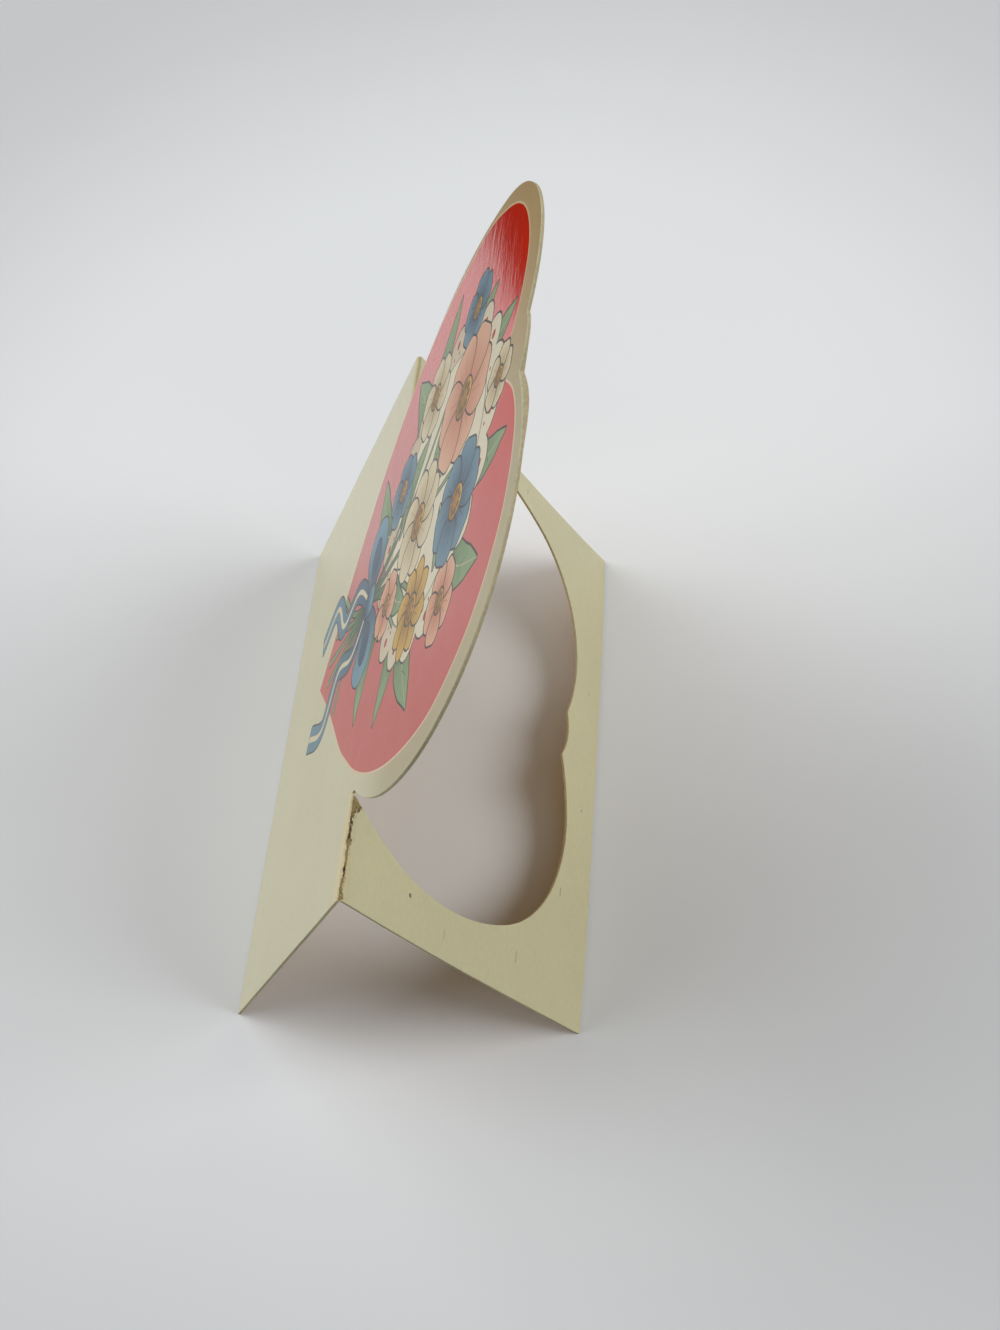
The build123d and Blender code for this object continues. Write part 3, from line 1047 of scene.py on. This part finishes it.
def paper(name, mottling, fibre_bump, roughness, specular=0.1, varnish=None, brush=False):
    """Paperboard in the print's colours; varnish is the roughness of its coat."""
    material, tree, spot = new_material(name)
    ink = outputs(tree, "Attribute", {}, attribute_name="print")
    cloud = ramp(tree, noise(tree, spot, CLOUDS, 4), (0.28, 1 - mottling), (0.72, 1))
    fibres = noise(tree, scaled(tree, spot, FIBRE_STRETCH), FIBRES, 5, 0.6)
    grain = ramp(tree, fibres, (0.25, 1 - 1.2 * mottling), (0.7, 1))
    specks = ramp(tree, noise(tree, spot, SPECKS, 2), (0.2, SPECK_TONE), (0.29, 1))
    tint = multiply(tree, multiply(tree, ink["Color"], cloud), grain)
    patches = noise(tree, spot, PATCHES, 4)
    shader = {
        "Base Color": multiply(tree, tint, specks, 0.5),
        "Roughness": ramp(tree, patches, (0.3, roughness - 0.06), (0.7, roughness + 0.06)),
        "Normal": bump(tree, fibres, fibre_bump, FIBRE_DEPTH),
        "Specular IOR Level": specular}
    if varnish is not None:
        shader |= {"Coat Weight": ink["Alpha"], "Coat Roughness": varnish, "Coat IOR": VARNISH_IOR}
    if brush:
        shader["Coat Normal"] = brushed(tree, spot)
    set_shader(tree, shader)
    return material


papers = {
    SATIN: paper("printed_satin", 0.07, 0.1, 0.5, varnish=0.28),
    GLOSS: paper("printed_gloss", 0.07, 0.1, 0.5, specular=0, varnish=0.08, brush=True),
    BACK: paper("raw_back", 0.15, 0.4, 0.85),
    EDGE: paper("cut_edge", 0.25, 0.6, 0.9),
    CORE: paper("torn_core", 0.3, 0.9, 0.95)}
for slot in sorted(papers):
    mesh.materials.append(papers[slot])

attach(card, "root")
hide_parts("card")

# Floor, in metres

FLOOR_HALF = 3
POOL_CENTRE = (-0.095, 0, 0)  # the floor is palest around this place
POOL_START, POOL_END = 0.1, 0.27  # distances where it starts to darken and stops
FLOOR_PALE, FLOOR_DARK = (0.845, 0.863, 0.877), (0.65, 0.664, 0.676)


def plate(name, corners, height):
    """A flat quad over the floor."""
    quad = bpy.data.meshes.new(name)
    quad.from_pydata([(*corner, height) for corner in corners], [], [(0, 1, 2, 3)])
    return add_object(name, quad)


def floor_white():
    """A white that darkens away from the pool of light."""
    material, tree, spot = new_material("floor_white")
    away = outputs(tree, "VectorMath", {0: spot, 1: POOL_CENTRE}, operation="DISTANCE")["Value"]
    share = between(tree, away, POOL_START, POOL_END, "SMOOTHSTEP")
    tone = ramp(tree, share, (0, FLOOR_PALE), (1, FLOOR_DARK))
    cloudy = ramp(tree, noise(tree, spot, 6, 3), (0.3, 0.975), (0.7, 1))
    colour = multiply(tree, tone, cloudy)
    set_shader(tree, {"Base Color": colour, "Roughness": 0.8, "Specular IOR Level": 0.1})
    return material


square = np.array([(-1, -1), (1, -1), (1, 1), (-1, 1)])
floor = plate("floor", FLOOR_HALF * square, 0)
floor.data.materials.append(floor_white())

# A dark card with a soft edge lies beyond the frame, where only the varnish mirrors it

FLAG_NEAR, FLAG_FAR, FLAG_SIDE = 0.15, 0.6, 0.5  # from the origin towards -X -Y, and half its width
FLAG_HEIGHT = 0.001
FLAG_FADE_START, FLAG_FADE_END = 0.207, 0.233  # from the origin, where its soft edge starts and ends
FLAG_HEADING = np.array([-1, -1]) / sqrt(2)
FLAG_ACROSS = np.array([1, -1]) / sqrt(2)


def flag_black():
    """A dull black that fades in along the flag."""
    material, tree, spot = new_material("flag_black")
    heading = (*FLAG_HEADING, 0)
    reach = outputs(tree, "VectorMath", {0: spot, 1: heading}, operation="DOT_PRODUCT")["Value"]
    set_shader(tree, {
        "Base Color": (0.01, 0.01, 0.01, 1), "Roughness": 1, "Specular IOR Level": 0,
        "Alpha": between(tree, reach, FLAG_FADE_START, FLAG_FADE_END, "SMOOTHSTEP")})
    return material


flag_steps = [(FLAG_NEAR, -1), (FLAG_NEAR, 1), (FLAG_FAR, 1), (FLAG_FAR, -1)]
flag_corners = [FLAG_HEADING * ahead + FLAG_ACROSS * FLAG_SIDE * side for ahead, side in flag_steps]
flag = plate("dark_flag", flag_corners, FLAG_HEIGHT)
flag.data.materials.append(flag_black())
flag.visible_camera = False
flag.visible_diffuse = False
flag.visible_shadow = False
flag.visible_transmission = False

# Light: pale walls that the camera and the varnish see, and soft lights that do the lighting

WALL_COLOUR = (0.97, 0.985, 1, 1)
WALL_STRENGTH = 0.62
SOFT_LIGHTS = [  # name, azimuth from +X towards +Y, elevation, strength and spread, with angles in degrees
    ("soft_right", 92, 40, 1.54, 34), ("soft_left", 268, 36, 1.2, 46), ("soft_left_far", 238, 38, 0.8, 46),
    ("soft_top", 225, 64, 0.32, 46), ("soft_top_near", 45, 64, 0.28, 46)]

world = bpy.data.worlds.new("studio")
bpy.context.scene.world = world
world.use_nodes = True
walls = world.node_tree.nodes["Background"]
set_inputs(world.node_tree, walls, {"Color": WALL_COLOUR, "Strength": WALL_STRENGTH})
world.cycles_visibility.diffuse = False

# wide even lights that the varnish doesn't mirror
for name, azimuth, elevation, strength, spread in SOFT_LIGHTS:
    light = bpy.data.lights.new(name, "SUN")
    light.angle = radians(spread)
    light.energy = strength
    a, e = radians(azimuth), radians(elevation)
    source = Vector((cos(e) * cos(a), cos(e) * sin(a), sin(e)))
    lamp = add_object(name, light)
    lamp.rotation_euler = (-source).to_track_quat("-Z", "Y").to_euler()
    lamp.visible_glossy = False

# Camera, where the photograph was taken from

CAMERA_PLACE = (143.93, 55.446, 303.131)  # in millimetres
CAMERA_ANGLES = (30.2337, 5.1636, 94.7345)  # turns about x, y and z, in degrees
CAMERA_LENS = 36.87

camera_data = bpy.data.cameras.new("camera")
camera_data.lens = CAMERA_LENS
camera = add_object("camera", camera_data)
camera.location = Vector(CAMERA_PLACE) * MM
camera.rotation_euler = [radians(angle) for angle in CAMERA_ANGLES]
bpy.context.scene.camera = camera
bpy.context.scene.view_settings.view_transform = "Standard"
